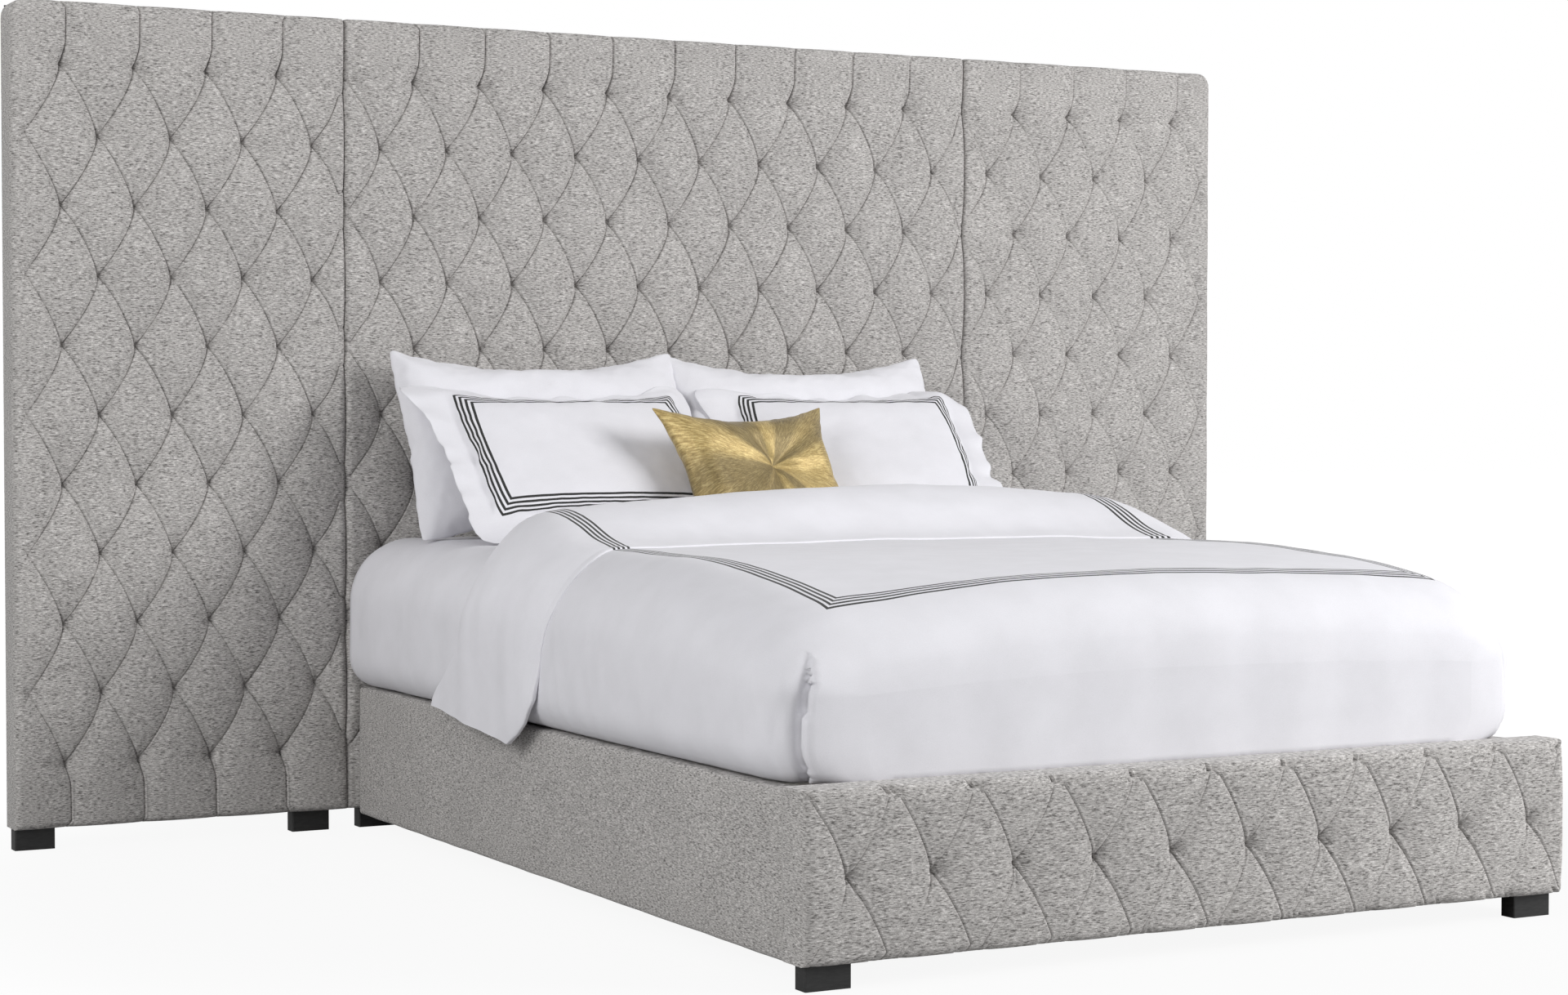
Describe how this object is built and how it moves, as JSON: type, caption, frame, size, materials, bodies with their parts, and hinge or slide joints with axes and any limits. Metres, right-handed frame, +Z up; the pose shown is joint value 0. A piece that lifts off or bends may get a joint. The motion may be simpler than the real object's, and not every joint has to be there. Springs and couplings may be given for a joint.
{
  "type": "upholstered headboard bed",
  "caption": "Bed with a tall, wide diamond-tufted headboard, upholstered rails and footboard, mattress, striped white bedding and loose pillows.",
  "frame": {"origin": "centre of the footprint's bounding box, on the floor", "axes": "+X along the headboard to the right as seen from the foot, +Y towards the headboard, +Z up"},
  "size_m": [3.216, 2.317, 1.878],
  "materials": {
    "tufted_fabric": "heathered warm-grey upholstery weave, diamond tufted, matt",
    "softwood": "planed pine, unfinished",
    "plywood": "plywood sheet, unfinished",
    "dust_cover": "black non-woven dust cover",
    "black_paint": "timber painted satin black, slightly worn edges",
    "bracket_steel": "bent steel, black powder coat",
    "zinc_fastener": "bright zinc plate",
    "glide_plastic": "black nylon",
    "ticking": "off-white mattress ticking",
    "white_bedding": "crisp white cotton percale, thin black stripe bands",
    "gold_fabric": "gold metallic jacquard with radial gathers, satin sheen"
  },
  "bodies": {
    "bed_frame": {"beam_hangers": "bracket_steel", "box_spring": "ticking", "bracket_bolts": "zinc_fastener", "bracket_screws": "zinc_fastener", "centre_beam": "softwood", "centre_legs": "softwood", "corner_brackets": "bracket_steel", "foot_bolts": "zinc_fastener", "footboard_core": "softwood", "footboard_feet": "black_paint", "footboard_pad": "tufted_fabric", "headboard_back_cover": "dust_cover", "headboard_face_board": "plywood", "headboard_feet": "black_paint", "headboard_frame": "softwood", "headboard_pad": "tufted_fabric", "joining_screws": "zinc_fastener", "left_rail_board": "softwood", "left_rail_cleat": "softwood", "left_rail_pad": "tufted_fabric", "left_wing_back_cover": "dust_cover", "left_wing_face_board": "plywood", "left_wing_feet": "black_paint", "left_wing_frame": "softwood", "left_wing_pad": "tufted_fabric", "right_rail_board": "softwood", "right_rail_cleat": "softwood", "right_rail_pad": "tufted_fabric", "right_wing_back_cover": "dust_cover", "right_wing_face_board": "plywood", "right_wing_feet": "black_paint", "right_wing_frame": "softwood", "right_wing_pad": "tufted_fabric", "slat_1": "softwood", "slat_2": "softwood", "slat_3": "softwood", "slat_4": "softwood", "slat_5": "softwood", "slat_6": "softwood", "slat_7": "softwood", "slat_8": "softwood", "wing_joining_plates": "bracket_steel"},
    "mattress": {"mattress": "ticking", "comforter": "white_bedding", "duvet": "white_bedding"},
    "centre_glide_1": {"centre_glide_1": "glide_plastic"},
    "centre_glide_2": {"centre_glide_2": "glide_plastic"},
    "centre_glide_3": {"centre_glide_3": "glide_plastic"},
    "gold_cushion": {"gold_cushion": "gold_fabric"},
    "rear_pillow_left": {"rear_pillow_left": "white_bedding"},
    "rear_pillow_right": {"rear_pillow_right": "white_bedding"},
    "sham_left": {"sham_left": "white_bedding"},
    "sham_right": {"sham_right": "white_bedding"}
  },
  "joints": [
    {"name": "mattress_lift", "type": "slide", "parent": "bed_frame", "child": "mattress", "axis": [0, 0, 1], "range_m": [0, 0.3]},
    {"name": "rear_pillow_left_lift", "type": "slide", "parent": "mattress", "child": "rear_pillow_left", "axis": [0, 0.5, 0.866], "range_m": [0, 0.11]},
    {"name": "rear_pillow_right_lift", "type": "slide", "parent": "mattress", "child": "rear_pillow_right", "axis": [0, 0.5, 0.866], "range_m": [0, 0.11]},
    {"name": "sham_left_lift", "type": "slide", "parent": "mattress", "child": "sham_left", "axis": [0, 0.5, 0.866], "range_m": [0, 0.2]},
    {"name": "sham_right_lift", "type": "slide", "parent": "mattress", "child": "sham_right", "axis": [0, 0.5, 0.866], "range_m": [0, 0.2]},
    {"name": "gold_cushion_lift", "type": "slide", "parent": "mattress", "child": "gold_cushion", "axis": [0, 0.5, 0.866], "range_m": [0, 0.2]},
    {"name": "centre_glide_1_screw", "type": "slide", "parent": "bed_frame", "child": "centre_glide_1", "axis": [0, 0, 1], "range_m": [0, 0.01]},
    {"name": "centre_glide_2_screw", "type": "slide", "parent": "bed_frame", "child": "centre_glide_2", "axis": [0, 0, 1], "range_m": [0, 0.01]},
    {"name": "centre_glide_3_screw", "type": "slide", "parent": "bed_frame", "child": "centre_glide_3", "axis": [0, 0, 1], "range_m": [0, 0.01]}
  ]
}
